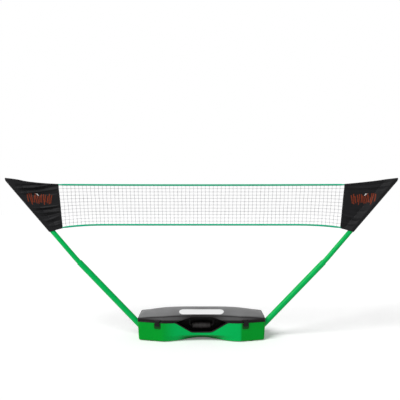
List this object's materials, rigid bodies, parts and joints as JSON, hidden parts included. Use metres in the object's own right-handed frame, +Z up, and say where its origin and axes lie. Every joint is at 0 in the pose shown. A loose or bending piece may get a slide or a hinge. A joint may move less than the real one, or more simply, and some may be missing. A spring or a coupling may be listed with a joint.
{
  "type": "badminton net set",
  "caption": "Free-standing badminton net: a carrying case with a hinged lid holds sectioned poles that lean out and stretch a net between fabric end panels.",
  "frame": {"origin": "on the floor under the middle of the set", "axes": "+Z up, X along the net, the front of the case with its handle bay faces -Y"},
  "size_m": [2.1528, 0.2406, 0.8739],
  "materials": {
    "green_plastic": "moulded green plastic, fine satin grain",
    "lid_plastic": "moulded dark grey plastic, fine satin grain",
    "black_plastic": "moulded black plastic",
    "white_plate": "bare white plate",
    "black_rubber": "soft rubber",
    "steel": "plain steel wire",
    "green_tube": "green coated tube",
    "black_fabric": "woven black polyester",
    "net_strand": "thin white knotted strand",
    "green_cord": "braided green cord"
  },
  "bodies": {
    "case": {"base_shell": "green_plastic", "handle_bay_liner": "black_plastic", "rim_trim": "black_plastic", "net_mesh": "net_strand", "top_cord": "green_cord", "bottom_cord": "green_cord", "foot_front_left": "black_rubber", "foot_back_left": "black_rubber", "handle_ear_left": "black_plastic", "hinge_pin_left": "steel", "latch_keeper_left": "green_plastic", "pole_socket_left": "green_plastic", "pole_clip_front_left": "black_plastic", "pole_clip_back_left": "black_plastic", "foot_front_right": "black_rubber", "foot_back_right": "black_rubber", "handle_ear_right": "black_plastic", "hinge_pin_right": "steel", "latch_keeper_right": "green_plastic", "pole_socket_right": "green_plastic", "pole_clip_front_right": "black_plastic", "pole_clip_back_right": "black_plastic"},
    "lid": {"lid_shell": "lid_plastic", "label_plate": "white_plate", "latch_pin_left": "steel", "latch_pin_right": "steel"},
    "handle": {"handle_bail": "black_plastic", "handle_grip": "black_rubber"},
    "latch_left": {"latch_left": "black_plastic"},
    "pole_left": {"lower_tube_left": "green_tube", "foot_plug_left": "black_plastic"},
    "upper_left": {"upper_tube_left": "green_tube", "tip_plug_left": "black_plastic", "sleeve_left": "black_fabric"},
    "latch_right": {"latch_right": "black_plastic"},
    "pole_right": {"lower_tube_right": "green_tube", "foot_plug_right": "black_plastic"},
    "upper_right": {"upper_tube_right": "green_tube", "tip_plug_right": "black_plastic", "sleeve_right": "black_fabric"}
  },
  "joints": [
    {"name": "lid_hinge", "type": "hinge", "parent": "case", "child": "lid", "pos_m": [0, 0.1153, 0.1035], "axis": [-1, 0, 0], "range_deg": [0, 100]},
    {"name": "handle_swing", "type": "hinge", "parent": "case", "child": "handle", "pos_m": [0, -0.05195, 0.112], "axis": [-1, 0, 0], "range_deg": [0, 70]},
    {"name": "latch_swing_left", "type": "hinge", "parent": "lid", "child": "latch_left", "pos_m": [-0.2354, -0.11329, 0.1127], "axis": [-0.9654, 0.2607, 0], "range_deg": [0, 110]},
    {"name": "pole_slide_left", "type": "slide", "parent": "case", "child": "pole_left", "axis": [-0.6959, 0, 0.7181], "range_m": [0, 0.071]},
    {"name": "section_slide_left", "type": "slide", "parent": "pole_left", "child": "upper_left", "axis": [-0.6959, 0, 0.7181], "range_m": [0, 0.07]},
    {"name": "latch_swing_right", "type": "hinge", "parent": "lid", "child": "latch_right", "pos_m": [0.2354, -0.11329, 0.1127], "axis": [-0.9654, -0.2607, 0], "range_deg": [0, 110]},
    {"name": "pole_slide_right", "type": "slide", "parent": "case", "child": "pole_right", "axis": [0.6959, 0, 0.7181], "range_m": [0, 0.071]},
    {"name": "section_slide_right", "type": "slide", "parent": "pole_right", "child": "upper_right", "axis": [0.6959, 0, 0.7181], "range_m": [0, 0.07]}
  ]
}
